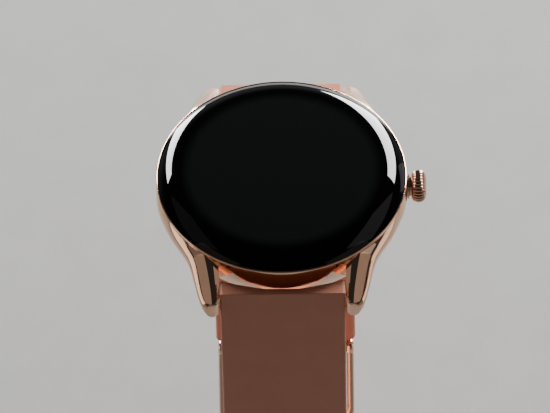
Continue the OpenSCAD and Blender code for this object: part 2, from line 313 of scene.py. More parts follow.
ROSE = polished("rose_gold", (0.84, 0.54, 0.38), (0.80, 0.50, 0.345))
# A darker copy of the rose gold for the crown and its tube. Its darker colour is painted shade, which makes
# them look dimmer than the case.
ROSE_PAINTED_SHADE = polished("rose_gold_painted_shade", (0.62, 0.38, 0.27), (0.56, 0.34, 0.24), rough=(0.12, 0.2))
GLASS = domed_glass("domed_glass")
STEEL = brushed("steel", (0.62, 0.61, 0.60))
BRIGHT_STEEL = polished("bright_steel", (0.72, 0.71, 0.70), (0.66, 0.65, 0.64), rough=(0.12, 0.2))
CONTACT = polished("contact_gold", (0.85, 0.62, 0.30), (0.78, 0.55, 0.25), rough=(0.12, 0.22))
SILICONE = moulded("silicone", (0.50, 0.20, 0.123), (0.48, 0.19, 0.116), rough=(0.42, 0.52),
                   grain=0.1, scale=7000, depth=0.006, Subsurface_Weight=0.12,
                   Subsurface_Scale=0.0006, Sheen_Weight=0.05, Specular_IOR_Level=0.35)
BACK = moulded("back_plastic", (0.022, 0.021, 0.022), (0.027, 0.026, 0.026), rough=(0.38, 0.5))
WINDOW = moulded("sensor_window", (0.006, 0.005, 0.006), (0.009, 0.007, 0.008), rough=(0.03, 0.06),
                 grain=0.01, Coat_Weight=1.0, Coat_Roughness=0.02)
DISPLAY = moulded("display_panel", (0.012, 0.013, 0.015), (0.010, 0.011, 0.012), rough=(0.1, 0.16),
                  grain=0.02)
INNER = moulded("inner_plastic", (0.05, 0.05, 0.055), (0.065, 0.065, 0.07))
BOARD = moulded("circuit_board", (0.012, 0.11, 0.05), (0.01, 0.085, 0.04), rough=(0.25, 0.4))
CHIP = moulded("chip", (0.02, 0.02, 0.022), (0.03, 0.03, 0.03), rough=(0.35, 0.55))
POUCH = polished("battery_foil", (0.66, 0.67, 0.70), (0.58, 0.59, 0.62), rough=(0.25, 0.4), grain=0.1)
SEAL = moulded("seal", (0.012, 0.012, 0.012), (0.02, 0.02, 0.02), rough=(0.5, 0.7))
LED = moulded("led_lens", (0.45, 0.75, 0.42), (0.5, 0.8, 0.5), rough=(0.08, 0.16), grain=0.02)
FLEX = moulded("flex", (0.45, 0.2, 0.03), (0.5, 0.24, 0.04), rough=(0.25, 0.4))

NODE_MATERIALS = {
    INNER: ("inner_chassis", "side_switch", "light_barrier"),
    BOARD: ("main_board", "sensor_board"),
    CHIP: ("board_chips", "photodiodes"),
    POUCH: ("battery",),
    SEAL: ("display_seal", "back_gasket", "crown_orings"),
    LED: ("sensor_leds",),
    FLEX: ("display_flex",),
    DISPLAY: ("display",),
    STEEL: ("crown_stem", "crown_plunger", "spring_bar_upper", "spring_bar_lower", "vibration_motor",
            "switch_bracket"),
    BRIGHT_STEEL: ("release_lever_upper", "release_lever_lower"),
}
for material, names in NODE_MATERIALS.items():
    for node_name in names:
        node = frame["nodes"][node_name]
        node.data.materials.clear()
        node.data.materials.append(material)


# ---- Case ----

def curve(points, t):
    """A smooth curve through (t, value) points, level beyond its ends."""
    if t <= points[0][0]:
        return points[0][1]
    if t >= points[-1][0]:
        return points[-1][1]
    k = max(i for i, p in enumerate(points[:-1]) if p[0] <= t)
    (t0, v0), (t1, v1) = points[k], points[k + 1]
    before = points[k - 1] if k > 0 else points[k]
    after = points[k + 2] if k + 2 < len(points) else points[k + 1]
    m0 = (v1 - before[1]) / (t1 - before[0]) * (t1 - t0)
    m1 = (after[1] - v0) / (after[0] - t0) * (t1 - t0)
    u = (t - t0) / (t1 - t0)
    return ((2 * u ** 3 - 3 * u ** 2 + 1) * v0 + (u ** 3 - 2 * u ** 2 + u) * m0
            + (3 * u ** 2 - 2 * u ** 3) * v1 + (u ** 3 - u ** 2) * m1)


BOWL_R = 15.5                     # radius of the bowl-shaped wall, which curves inward from the rim
CAVITY_R = 16.8
LEDGE_Z = GLASS_Z - 0.15          # the ledge that carries the glass


def wall_radius(z):
    """Radius of the round wall at height z."""
    drop = max(0.0, RIM_Z - z)
    return CASE_R - BOWL_R + math.sqrt(BOWL_R ** 2 - drop ** 2)


def case_ring():
    """The round wall, from the cavity over the bowl and the rim to the seat of the glass."""
    seat = GLASS_R + 0.05
    rim_r = 0.25
    wall_top = RIM_Z - rim_r
    wall_steps = 24
    heights = [BASE_Z + (wall_top - BASE_Z) * i / wall_steps for i in range(wall_steps)]
    outer = [(wall_radius(z), z) for z in heights]
    rim = arc(CASE_R - rim_r, wall_top, rim_r, 0, 90, 8)
    profile = ([(CAVITY_R, BASE_Z)] + outer + rim
               + [(seat + 0.04, RIM_Z), (seat, RIM_Z - 0.05), (seat, LEDGE_Z), (CAVITY_R, LEDGE_Z)])
    return lathe("case_body", profile, 288)


TIP_LEN = 1.1                     # the lug's end rounds off over this length
LUG_CREASE = 18                   # edges of the lug that meet at more than this angle stay sharp


def lug_section(y):
    """Section of the +X, +Y lug and of the case's flank at distance y, from its lower inner corner.
    Each curve runs from the middle of the case's side, at y 0, to the lug's end."""
    tip = max(0.0, (y - (LUG_Y - TIP_LEN)) / TIP_LEN)
    ease = 1 - math.sqrt(max(0.0, 1 - tip ** 2))
    on_rim, leaves_rim = CASE_R - 0.1, 11.5
    side = STRAP_HALF + 0.15
    end_flare, flare_len = 0.6, 0.5
    side += end_flare * max(0.0, (y - LUG_Y + flare_len) / flare_len)
    top = RIM_Z + curve([(7, -0.1), (12, -0.1), (14.2, -0.15), (15.2, -0.32), (16.2, -0.7), (17.5, -1.42),
                         (19.3, -2.5), (21.2, -3.62), (LUG_Y, -4.5)], y) - 0.25 * ease
    crease = curve([(leaves_rim, 16.25), (13.5, 15.05), (15.8, 13.9), (17.5, 13.4), (19.3, 12.93),
                    (21.2, 12.45), (LUG_Y, 12.05)], y) - 0.1 * ease
    if y < leaves_rim:
        crease = math.sqrt(on_rim ** 2 - y ** 2)
    widest = curve([(0, CASE_R - 0.06), (3.6, CASE_R - 0.06), (6.3, 19.55), (8.5, 18.75), (10.6, 17.85),
                    (12.5, 16.8), (14.2, 15.8), (15.4, 15.15), (16.5, 14.7), (17.5, 14.37), (19.4, 13.85),
                    (21.2, 13.3), (LUG_Y - 0.6, 12.85), (LUG_Y, 12.4)], y) - 0.15 * ease
    ridge = curve([(7, 14.6), (11.5, 13.4), (15.8, 12.4), (17.5, 12.0), (19.3, 11.65), (21.2, 11.35),
                   (LUG_Y, 11.2)], y)
    strip = curve([(7, 12.3), (15.8, 11.15), (17.5, 10.92), (19.3, 10.72), (21.2, 10.56), (LUG_Y, 10.5)], y)
    strip = max(strip, side + 0.05)
    ridge = max(ridge, strip + 0.1)
    bottom = curve([(7, BASE_Z), (14, BASE_Z), (17.5, BASE_Z - 0.75), (20.5, LUG_Z), (LUG_Y, LUG_Z + 0.1)],
                   y)
    low_x = curve([(0, 18.35), (3.5, 17.75), (7, 16.2), (10, 14.5), (12, 13.0), (14, 11.9), (17, 11.8),
                   (21, 11.5), (LUG_Y, 11.3)], y)
    middle = top - curve([(7, 1.6), (14, 2.0), (18, 1.7), (LUG_Y, 1.2)], y)
    power = curve([(7, 1.0), (14, 1.0), (19, 1.6), (LUG_Y, 1.9)], y)
    fall = (crease - ridge) * curve([(9, 0.0), (13, 0.2), (15, 0.38), (LUG_Y, 0.42)], y)
    shoulder = top - fall
    points = [(side, bottom + 0.25), (side, top - 0.1 - 0.5 * (strip - side)), (strip, top - 0.1),
              (ridge, top), (crease, shoulder)]
    upper_steps, lower_steps = 8, 14
    for i in range(1, upper_steps + 1):
        u = i / upper_steps
        points.append((crease + (widest - crease) * (1 - (1 - u) ** 2), shoulder - (shoulder - middle) * u))
    for i in range(1, lower_steps + 1):
        u = i / lower_steps
        points.append((low_x + (widest - low_x) * (1 - u ** 2.2) ** (1 / power),
                       middle - (middle - bottom) * u))
    points.append((side + 0.3, bottom))
    return [(x, y, z) for x, z in points]


def lug():
    """The +X, +Y lug with its quarter of the case's flank."""
    tip = LUG_Y - TIP_LEN
    body_steps, tip_steps = 120, 12
    stations = [tip * i / body_steps for i in range(body_steps + 1)]
    stations += [tip + TIP_LEN * math.sin(math.pi / 2 * i / tip_steps) for i in range(1, tip_steps + 1)]
    return loft("lug", [lug_section(y) for y in stations], LUG_CREASE)


def cut(obj, cutter):
    """Takes the cutter's shape out of a piece and deletes the cutter."""
    mod = obj.modifiers.new("cut", "BOOLEAN")
    mod.operation = "DIFFERENCE"
    mod.solver = "EXACT"
    mod.object = cutter
    apply_modifiers(obj)
    bpy.data.objects.remove(cutter)


def apply_modifiers(obj):
    """Turns the modified shape into the object's own mesh."""
    graph = bpy.context.evaluated_depsgraph_get()
    graph.update()
    mesh = bpy.data.meshes.new_from_object(obj.evaluated_get(graph))
    obj.modifiers.clear()
    old = obj.data
    obj.data = mesh
    bpy.data.meshes.remove(old)


def mirrored(obj, sx, sy):
    """A copy of a piece, mirrored in X or Y."""
    copy = obj.copy()
    copy.data = obj.data.copy()
    bpy.context.scene.collection.objects.link(copy)
    copy.data.transform(Matrix.Diagonal((sx, sy, 1, 1)))
    if sx * sy < 0:
        copy.data.flip_normals()
    return copy


def joined(name, objects):
    """Several objects as one, in the same places."""
    bm = bmesh.new()
    for obj in objects:
        bm.from_mesh(obj.data)
    mesh = bpy.data.meshes.new(name)
    bm.to_mesh(mesh)
    bm.free()
    for obj in objects:
        bpy.data.objects.remove(obj)
    result = bpy.data.objects.new(name, mesh)
    bpy.context.scene.collection.objects.link(result)
    return result


def build_case():
    """The round wall with its four lugs, each cut off inside the wall."""
    one = lug()
    inner_r, outer_r = CAVITY_R + 0.3, CASE_R - 0.12
    below, step_z, above = -2, LEDGE_Z - 0.2, RIM_Z + 2
    inside = [(0, below), (inner_r, below), (inner_r, step_z), (outer_r, step_z), (outer_r, above),
              (0, above)]
    cut(one, lathe("inside", inside, 288))
    lugs = [one] + [mirrored(one, sx, sy) for sx, sy in ((-1, 1), (1, -1), (-1, -1))]
    for each in lugs:
        shade(each, LUG_CREASE)
    body = joined("case_body", [case_ring()] + lugs)
    place(body, "case", "rose_gold", ROSE, "mid_case")


build_case()


# ---- Glass ----

def build_glass():
    """A shallow dome whose outer band bends down to a steep edge."""
    band, edge_slope = 4.0, 40.0      # the band's width and its steepest slope, in degrees
    dish = 0.3                        # how far the dome falls before the band
    middle = GLASS_R - band
    slope = math.atan(2 * dish / middle)
    steepest = math.radians(edge_slope)
    band_r = band / (math.sin(steepest) - math.sin(slope))
    edge_z = DOME_Z - dish - band_r * (math.cos(slope) - math.cos(steepest))
    middle_steps, band_steps = 30, 40
    profile = []
    for i in range(middle_steps):
        profile.append((middle * i / middle_steps, DOME_Z - dish * (i / middle_steps) ** 2))
    for i in range(band_steps + 1):
        t = slope + (steepest - slope) * i / band_steps
        r = middle + band_r * (math.sin(t) - math.sin(slope))
        z = edge_z + band_r * (math.cos(t) - math.cos(steepest))
        profile.append((r, z))
    ceiling = RIM_Z - 0.1
    recess = high("display").x + 0.2
    profile += [(GLASS_R, edge_z - 0.1), (GLASS_R, GLASS_Z + 0.1), (GLASS_R - 0.1, GLASS_Z),
                (recess, GLASS_Z), (recess, ceiling), (0, ceiling)]
    glass = lathe("domed_glass", profile, 288, sharp=40)
    place(glass, "case", "glass", GLASS, "glass")


build_glass()


# ---- Crown ----

TO_X_AXIS = Matrix.Translation((0, 0, CROWN_Z)) @ Matrix.Rotation(math.radians(90), 4, "Y")
FLUTES = 28


def crown_outline():
    """Barrel outline in (x, radius, share of flute depth), from the recess round to the end face."""
    inner, outer = CROWN_X0, CROWN_X1
    corner_x, outer_corner, inner_corner = 1.1, 1.25, 0.9    # shoulders along the axis and across it
    recess_r, recess_deep, stem_r = 1.72, 1.1, 0.75
    recess_x = inner + recess_deep
    points = [(recess_x, stem_r, 0), (recess_x, recess_r, 0), (inner + 0.05, recess_r, 0)]
    for a in range(8, 91, 6):
        t = math.radians(a)
        points.append((inner + corner_x * (1 - math.cos(t)), CROWN_R - inner_corner * (1 - math.sin(t)),
                       math.sin(t) ** 0.5))
    middle = (inner + outer) / 2
    points.append((middle, CROWN_R, 1))
    for a in range(90, 2, -6):
        t = math.radians(a)
        points.append((outer - corner_x * (1 - math.cos(t)), CROWN_R - outer_corner * (1 - math.sin(t)),
                       math.sin(t) ** 0.5))
    groove_x = outer - 0.05
    points += [(outer, 1.42, 0), (groove_x, 1.36, 0), (groove_x, 1.26, 0), (outer, 1.2, 0)]
    points += [(outer, 0.6, 0), (outer, 0, 0)]
    return points


def build_crown():
    """The fluted knob. Its outline turns round the X axis and dips between the flutes."""
    outline = crown_outline()
    per_flute = 12
    steps = FLUTES * per_flute
    depth = 0.26
    verts, faces = [], []
    for i in range(steps):
        a = 2 * math.pi * i / steps
        wave = abs(math.sin(FLUTES * a / 2)) ** 0.9
        for x, r, share in outline:
            radius = r - depth * share * (1 - wave)
            verts.append((x, radius * math.cos(a), CROWN_Z + radius * math.sin(a)))
    n = len(outline)
    for i in range(steps):
        j = (i + 1) % steps
        for k in range(n - 1):
            faces.append((i * n + k, i * n + k + 1, j * n + k + 1, j * n + k))
    faces.append(tuple(i * n for i in range(steps)))    # closes the bottom of the recess
    crown = make_object("crown_knob", verts, faces)
    shade(crown, 38)
    # The crown gets the darker rose gold, whose colour is painted shade.
    place(crown, "crown_knob", "rose_gold", ROSE_PAINTED_SHADE, "crown")


def build_crown_tube():
    """The tube in the case wall, with the collar that shows outside it."""
    x0, x1 = low("crown_tube").x, high("crown_tube").x
    bore, tube_r, nose_r, nose_x = 0.75, 1.4, 1.6, 19.6
    collar_r, collar_x0, collar_x1 = 2.0, CASE_R + 0.02, CASE_R + 0.35
    edge, fillet, nose_edge = 0.05, 0.04, 0.08
    profile = [(bore, x0), (tube_r, x0), (tube_r, nose_x), (nose_r, nose_x), (nose_r, collar_x0),
               (collar_r - edge, collar_x0), (collar_r, collar_x0 + edge), (collar_r, collar_x1 - edge),
               (collar_r - edge, collar_x1), (nose_r + fillet, collar_x1), (nose_r, collar_x1 + fillet),
               (nose_r, x1 - nose_edge), (nose_r - nose_edge, x1), (bore, x1)]
    tube = lathe("crown_tube_body", profile, 96, TO_X_AXIS, 35)
    # The tube and its collar get the darker rose gold, whose colour is painted shade.
    place(tube, "case", "rose_gold", ROSE_PAINTED_SHADE, "crown_tube")


build_crown()
build_crown_tube()


# ---- Strap ----

EDGE = 0.38                       # rounding of the strap's long edges
STRAIGHT_Z = -25.0                # where the long half starts to bend
LONG_R = 150.0                    # radius of the long half's bend
LONG_C = Vector((0, BAR.y - LONG_R, STRAIGHT_Z))
LONG_ARC = 66.0                   # length of its bent part, to the centre of the tip
SHORT_R = 160.0                   # radius of the short half's bend
SHORT_LEAN = math.radians(8)
SHORT_ARC = 61.0                  # length along the short half, from one bar to the other
CONE = ((3.6, 19.35), (STRAP_TOP + 0.05, 21.65))    # (height, radius) of the ends' hollow, low and high
CASE_CLEAR = 19.0                 # the hollow end comes about this near to the middle of the watch
BAR_END_R = 1.3                   # rounding of the strap about the spring bar
BUCKLE_END_R = 1.5                # and about the buckle bar


def cone_y(x, z):
    """Where the hollow end of the strap lies at width x and height z."""
    (z0, r0), (z1, r1) = CONE
    r = r0 + (r1 - r0) * (z - z0) / (z1 - z0)
    return math.sqrt(max(r * r - x * x, 0.01))


def end_outline(x, inset):
    """The bar end of a strap half in (y, z) at width x, from its outer face over the top to its inner
    face."""
    outer = STRAP_Y - inset
    top = STRAP_TOP - inset
    thinnest = outer - 0.12
    inner_top = min(max(CASE_CLEAR - 0.05, cone_y(x, top)) + inset, thinnest)
    points = [(outer, top - 0.3), (outer - 0.03, top - 0.1), (outer - 0.1, top - 0.02)]
    points += [(max(inner_top, outer - 0.2) * 0.4 + inner_top * 0.6, top), (inner_top, top - 0.06)]
    wall_high, wall_low, wall_steps = top - 0.06, 4.0, 8
    for i in range(1, wall_steps + 1):
        z = wall_high - (wall_high - wall_low) * i / wall_steps
        points.append((min(max(CASE_CLEAR, cone_y(x, z)) + inset, thinnest), z))
    radius = BAR_END_R - inset
    for degrees in range(168, 226, 8):
        t = math.radians(degrees)
        points.append((BAR.y + radius * math.cos(t), BAR.z + radius * math.sin(t)))
    return points


TIP_R = STRAP_HALF - 0.06
LONG_STRAIGHT = BAR.z - STRAIGHT_Z
TIP_S = LONG_STRAIGHT + LONG_ARC  # distance from the bar to the centre of the round tip
N_OUT = STRAP_Y - BAR.y           # outer face, outward from the bar line
N_IN = N_OUT - STRAP_T


def long_point(x, s, n):
    """Place on the long half: x across, s along it from its bar, n outward from the bar line."""
    if s <= LONG_STRAIGHT:
        return Vector((x, -(BAR.y + n), BAR.z - s))
    a = -(min(s, TIP_S) - LONG_STRAIGHT) / LONG_R
    past = max(0.0, s - TIP_S)
    y = LONG_C.y + (LONG_R + n) * math.cos(a) + past * math.sin(a)
    return Vector((x, -y, LONG_C.z + (LONG_R + n) * math.sin(a) - past * math.cos(a)))


def short_point(x, s, n):
    """Place on the short half, in the same terms."""
    a = SHORT_LEAN - s / SHORT_R
    return Vector((x, SHORT_C.y + (SHORT_R + n) * math.cos(a), SHORT_C.z + (SHORT_R + n) * math.sin(a)))


def round_tip(x, inset):
    """(s, n) points round the long half's tip at width x, from its inner to its outer face."""
    end = TIP_S + math.sqrt(max(0.0, TIP_R ** 2 - x * x))
    low_n, high_n = N_IN + inset, N_OUT - inset
    points = [(end - EDGE + c, low_n + EDGE + d) for c, d in arc(0, 0, EDGE, -90, 0, 5)]
    points += [(end - EDGE + c, high_n - EDGE + d) for c, d in arc(0, 0, EDGE, 0, 90, 5)]
    return points


def round_buckle_end(x, inset):
    """(s, n) points round the short half's buckle end, from its inner to its outer face."""
    r = BUCKLE_END_R - inset
    start = -180 - math.degrees(math.asin((N_IN + inset) / r))
    stop = 180 - math.degrees(math.asin(min(1.0, (N_OUT - inset) / r)))
    return arc(SHORT_ARC, 0, r, start, stop, 24)


def strap_half(name, point, far_end, mirror, last_s):
    """One strap half, lofted across its width through outlines of its side."""
    stations, rows = 64, 48
    inner_start, outer_start = 1.6, 0.3    # distance from the bar where each face begins
    sections = []
    for i in range(stations + 1):
        x = STRAP_HALF * math.sin(math.pi * (i / stations - 0.5))
        past = max(0.0, abs(x) - (STRAP_HALF - EDGE))
        inset = EDGE - math.sqrt(max(0.0, EDGE ** 2 - past ** 2))
        section = [Vector((x, mirror * y, z)) for y, z in end_outline(x, inset)]
        for k in range(rows):
            section.append(point(x, inner_start + (last_s - inner_start) * k / rows, N_IN + inset))
        section += [point(x, s, n) for s, n in far_end(x, inset)]
        for k in range(rows - 1, -1, -1):
            section.append(point(x, outer_start + (last_s - outer_start) * k / rows, N_OUT - inset))
        sections.append(section)
    return loft(name, sections, 30)


def rod(name, r, x0, x1, to_world):
    """A plain cylinder from x0 to x1."""
    return lathe(name, [(0, x0), (r, x0), (r, x1), (0, x1)], 64, to_world)


def block(name, lo, hi, to_world=None):
    """A box between two corners."""
    corners = [Vector((x, y, z)) for x in (lo[0], hi[0]) for y in (lo[1], hi[1]) for z in (lo[2], hi[2])]
    if to_world is not None:
        corners = [to_world @ c for c in corners]
    faces = [(0, 1, 3, 2), (4, 6, 7, 5), (0, 4, 5, 1), (2, 3, 7, 6), (0, 2, 6, 4), (1, 5, 7, 3)]
    return make_object(name, corners, faces, False)


def axis_along_x(centre):
    """Turns the Z axis of a lathe to +X, at this centre."""
    return Matrix.Translation(centre) @ Matrix.Rotation(math.radians(90), 4, "Y")


def weighted(obj):
    """Normals that follow the larger faces, so that cut faces still look flat."""
    mod = obj.modifiers.new("normals", "WEIGHTED_NORMAL")
    mod.keep_sharp = True
    mod.weight = 90


def size_hole(s):
    """A cutter for one size hole, flared at both faces of the strap."""
    r, flare, beyond = 1.2, 0.22, 1
    wide = r + 2 * flare
    up = arc(r + flare, N_OUT - flare, flare, 180, 90, 5)
    down = [(radius, N_IN + N_OUT - n) for radius, n in reversed(up)]
    profile = [(0, N_IN - beyond), (wide, N_IN - beyond)] + down + up
    profile += [(wide, N_OUT + beyond), (0, N_OUT + beyond)]
    centre = long_point(0, s, 0)
    outward = (long_point(0, s, 1) - centre).normalized()
    turn = Vector((0, 0, 1)).rotation_difference(outward).to_matrix().to_4x4()
    return lathe("hole", profile, 48, Matrix.Translation(centre) @ turn)


def notch(side):
    """Space for the release lever, cut into the inner side of the bar end."""
    centre = Vector((0, side * BAR.y, BAR.z))
    x0, x1, deep, half_tall = 5.9, 9, 3, 0.55
    y0, y1 = (-deep, 0) if side > 0 else (0, deep)
    lo, hi = Vector((x0, y0, -half_tall)), Vector((x1, y1, half_tall))
    return block("notch", lo + centre, hi + centre)


BAR_BORE = 0.77
BUCKLE_BORE = 0.80
BORE_END = 12                     # the bores' cutters reach past both sides of the strap
HOLE_FIRST = 46.0                 # distance of the first size hole from the bar
HOLE_PITCH = 6.5
HOLES = 8


def build_long_half():
    """The 6 o'clock half, with its size holes and round tip."""
    strap = strap_half("strap_long_body", long_point, round_tip, -1, TIP_S - 0.6)
    bore = rod("bore", BAR_BORE, -BORE_END, BORE_END, axis_along_x((0, -BAR.y, BAR.z)))
    holes = [size_hole(HOLE_FIRST + i * HOLE_PITCH) for i in range(HOLES)]
    cut(strap, joined("cutters", holes))
    cut(strap, bore)
    cut(strap, notch(-1))
    shade(strap, 30)
    weighted(strap)
    place(strap, "long_half", "silicone", SILICONE, "strap_long")


def build_short_half():
    """The 12 o'clock half, with a slot for the tang at its buckle end."""
    strap = strap_half("strap_short_body", short_point, round_buckle_end, 1, SHORT_ARC - 1.4)
    lean = SHORT_LEAN - SHORT_ARC / SHORT_R
    at_end = Matrix.Translation(BUCKLE) @ Matrix.Rotation(lean, 4, "X")
    cut(strap, rod("bore", BAR_BORE, -BORE_END, BORE_END, axis_along_x(BAR)))
    cut(strap, notch(1))
    cut(strap, rod("bore", BUCKLE_BORE, -BORE_END, BORE_END, axis_along_x(BUCKLE)))
    slot_low, slot_high = (-1.5, -4, -4), (1.5, 4, 4.5)    # open at the strap's end
    cut(strap, block("slot", slot_low, slot_high, at_end))
    shade(strap, 30)
    weighted(strap)
    place(strap, "short_half", "silicone", SILICONE, "strap_short")


build_long_half()
build_short_half()


# ---- Keepers ----

KEEPER_AT = 54.5                  # distance of the fixed keeper's middle from the bar
KEEPER_LEN = 7.5
KEEPER_GAP = 0.3
KEEPER_HALF = high("keeper_fixed").x


def rounded_loop(low_a, high_a, half_b, r, steps):
    """Corners and sides of a rounded rectangle in (a, b), from one fixed corner round."""
    loop = []
    for a, b, start in ((high_a - r, half_b - r, 0), (low_a + r, half_b - r, 90),
                        (low_a + r, r - half_b, 180), (high_a - r, r - half_b, 270)):
        loop += arc(a, b, r, start, start + 90, steps)
    return loop


def rounded_section(width, length, r, steps):
    """A rounded rectangle from 0 to width and -length/2 to length/2."""
    return rounded_loop(0, width, length / 2, min(r, width / 2 - 0.01), steps)


def build_keeper(name, body, node, s_mid):
    """A band round both layers of the strap, with its middle s_mid along the short half."""
    wall, inner_r, outer_r, edge_r = 1.1, 0.35, 1.25, 0.42
    inner_low = N_IN - 0.12
    inner_high = inner_low + 2 * STRAP_T + 0.5
    inner = rounded_loop(inner_low, inner_high, STRAP_HALF + 0.2, inner_r, 8)
    outer = rounded_loop(inner_low - wall, inner_high + wall, KEEPER_HALF, outer_r, 8)
    sections = []
    for (a0, b0), (a1, b1) in zip(inner, outer):
        thick = math.hypot(a1 - a0, b1 - b0)
        section = []
        for u, t in rounded_section(thick, KEEPER_LEN, edge_r, 6):
            share = u / thick
            section.append(short_point(b0 + (b1 - b0) * share, s_mid + t, a0 + (a1 - a0) * share))
        sections.append(section)
    n = len(sections[0])
    verts = [p for section in sections for p in section]
    faces = []
    for i in range(len(sections)):
        j = (i + 1) % len(sections)
        for k in range(n):
            m = (k + 1) % n
            faces.append((i * n + k, i * n + m, j * n + m, j * n + k))
    keeper = make_object(name, verts, faces)
    shade(keeper, 40)
    weighted(keeper)
    place(keeper, body, "silicone", SILICONE, node)


build_keeper("keeper_fixed_body", "short_half", "keeper_fixed", KEEPER_AT)
build_keeper("keeper_free_body", "loose_keeper", "keeper_free", KEEPER_AT - KEEPER_LEN - KEEPER_GAP)


# ---- Springs inside the spring bars ----

def build_bar_spring(which, side):
    """A coil round the spring bar, along the length of its CAD node."""
    node, joint = "bar_spring_" + which, "release_" + which
    coil_r, wire_r = 0.38, 0.09
    turns, steps, wire_steps = 12, 20, 8
    first, last = low(node).x, high(node).x
    count = turns * steps
    sections = []
    for i in range(count + 1):
        a = 2 * math.pi * i / steps
        along = first + wire_r + (last - first - 2 * wire_r) * i / count
        section = []
        for k in range(wire_steps):
            b = 2 * math.pi * k / wire_steps
            r = coil_r + wire_r * math.cos(b)
            section.append(Vector((along + wire_r * math.sin(b), side * BAR.y + r * math.cos(a),
                                   BAR.z + r * math.sin(a))))
        sections.append(section)
    spring = loft("spring_coil_" + which, sections, 60)
    place(spring, "long_half" if side < 0 else "short_half", "steel", STEEL, node)
    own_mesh(spring)


build_bar_spring("lower", -1)
build_bar_spring("upper", 1)


# ---- Buckle ----

BUCKLE_LEAN = math.radians(-31.5)    # how far the frame is turned about its bar at rest
AT_BUCKLE = Matrix.Translation(BUCKLE) @ Matrix.Rotation(BUCKLE_LEAN, 4, "X")
BUCKLE_LEN = 13.9
CROSSBAR_Z = -11.6                # inner edge of the frame's crossbar
FRAME_T = 1.5
SIDE_IN = STRAP_HALF + 0.25       # inner face of the frame's side bars


def build_buckle_frame():
    """A flat three-sided frame with a domed knuckle at each end of the buckle bar."""
    corner, inner_corner = 2.5, 0.7
    start = -0.95                 # the side bars start inside the knuckles
    outer = [(BUCKLE_HALF, start)]
    outer += arc(BUCKLE_HALF - corner, corner - BUCKLE_LEN, corner, 0, -90, 14)
    outer += [(-x, z) for x, z in reversed(outer)]
    inner = [(SIDE_IN, start)]
    inner += arc(SIDE_IN - inner_corner, CROSSBAR_Z + inner_corner, inner_corner, 0, -90, 14)
    inner += [(-x, z) for x, z in reversed(inner)]
    sections = []
    for (x0, z0), (x1, z1) in zip(inner, outer):
        wide = math.hypot(x1 - x0, z1 - z0)
        section = []
        for u, t in rounded_section(wide, FRAME_T, 0.5, 6):
            share = u / wide
            section.append(AT_BUCKLE @ Vector((x0 + (x1 - x0) * share, t, z0 + (z1 - z0) * share)))
        sections.append(section)
    bars = loft("bars", sections, 40)
    knuckle_r, bore, edge_r, dome_r = 1.35, 0.77, 0.25, 0.55
    profile = [(bore, SIDE_IN), (knuckle_r - edge_r, SIDE_IN)]
    profile += arc(knuckle_r - edge_r, SIDE_IN + edge_r, edge_r, -90, 0, 4)
    profile += arc(knuckle_r - dome_r, BUCKLE_HALF - dome_r, dome_r, 0, 80, 8)
    profile += [(bore, BUCKLE_HALF)]
    right = lathe("knuckle", profile, 64, axis_along_x(BUCKLE))
    left = mirrored(right, -1, 1)
    frame_piece = joined("buckle_frame_body", [bars, right, left])
    weighted(frame_piece)
    place(frame_piece, "buckle", "rose_gold", ROSE, "buckle_frame")


def build_buckle_bar():
    """The pin that carries the frame, the tang and the strap's end."""
    r, end, edge = 0.75, BUCKLE_HALF - 0.1, 0.12
    profile = [(0, -end), (r - edge, -end), (r, edge - end), (r, end - edge), (r - edge, end), (0, end)]
    bar = lathe("buckle_bar_body", profile, 48, axis_along_x(BUCKLE))
    place(bar, "buckle", "steel", BRIGHT_STEEL, "buckle_bar")


def build_tang():
    """The tongue, an arm of rounded section that tapers at its tip, with an eye on the buckle bar."""
    start, taper, end = 0.9, 12.5, BUCKLE_LEN - 0.4
    outer_line = [(start, 1.28), (4, 1.7), (12.6, 1.76), (13.2, 1.6), (end, 1.3)]
    inner_line = [(start, 0.2), (2.2, 0.6), (4, 0.82), (13, 0.82), (end, 0.98)]
    width_line = [(start, 0.98), (4, 0.98), (11.5, 0.9), (12.9, 0.74), (13.3, 0.5), (end, 0.18)]
    sections = []
    stations = [start + (taper - start) * i / 30 for i in range(30)]
    stations += [taper + (end - taper) * i / 14 for i in range(15)]
    round_steps, squareness = 32, 0.6
    for along in stations:
        top, under, half = curve(outer_line, along), curve(inner_line, along), curve(width_line, along)
        section = []
        for i in range(round_steps):
            a = 2 * math.pi * i / round_steps
            c, d = math.cos(a), math.sin(a)
            x = half * math.copysign(abs(c) ** squareness, c)
            y = (top + under) / 2 + (top - under) / 2 * math.copysign(abs(d) ** squareness, d)
            section.append(AT_BUCKLE @ Vector((x, y, -along)))
        sections.append(section)
    arm = loft("arm", sections, 50)
    bore, r, half, edge = 0.8, 1.25, 1.1, 0.14
    profile = [(bore, -half), (r - edge, -half), (r, edge - half), (r, half - edge), (r - edge, half),
               (bore, half)]
    eye = lathe("eye", profile, 64, axis_along_x(BUCKLE))
    tang = joined("buckle_tang_body", [arm, eye])
    place(tang, "tang", "rose_gold", ROSE, "buckle_tang")


build_buckle_frame()
build_buckle_bar()
build_tang()


# ---- Back ----

WINDOW_R = high("sensor_window").x
WINDOW_TOP = high("sensor_window").z
COVER_Z = low("back_cover").z
COVER_R = high("back_cover").x


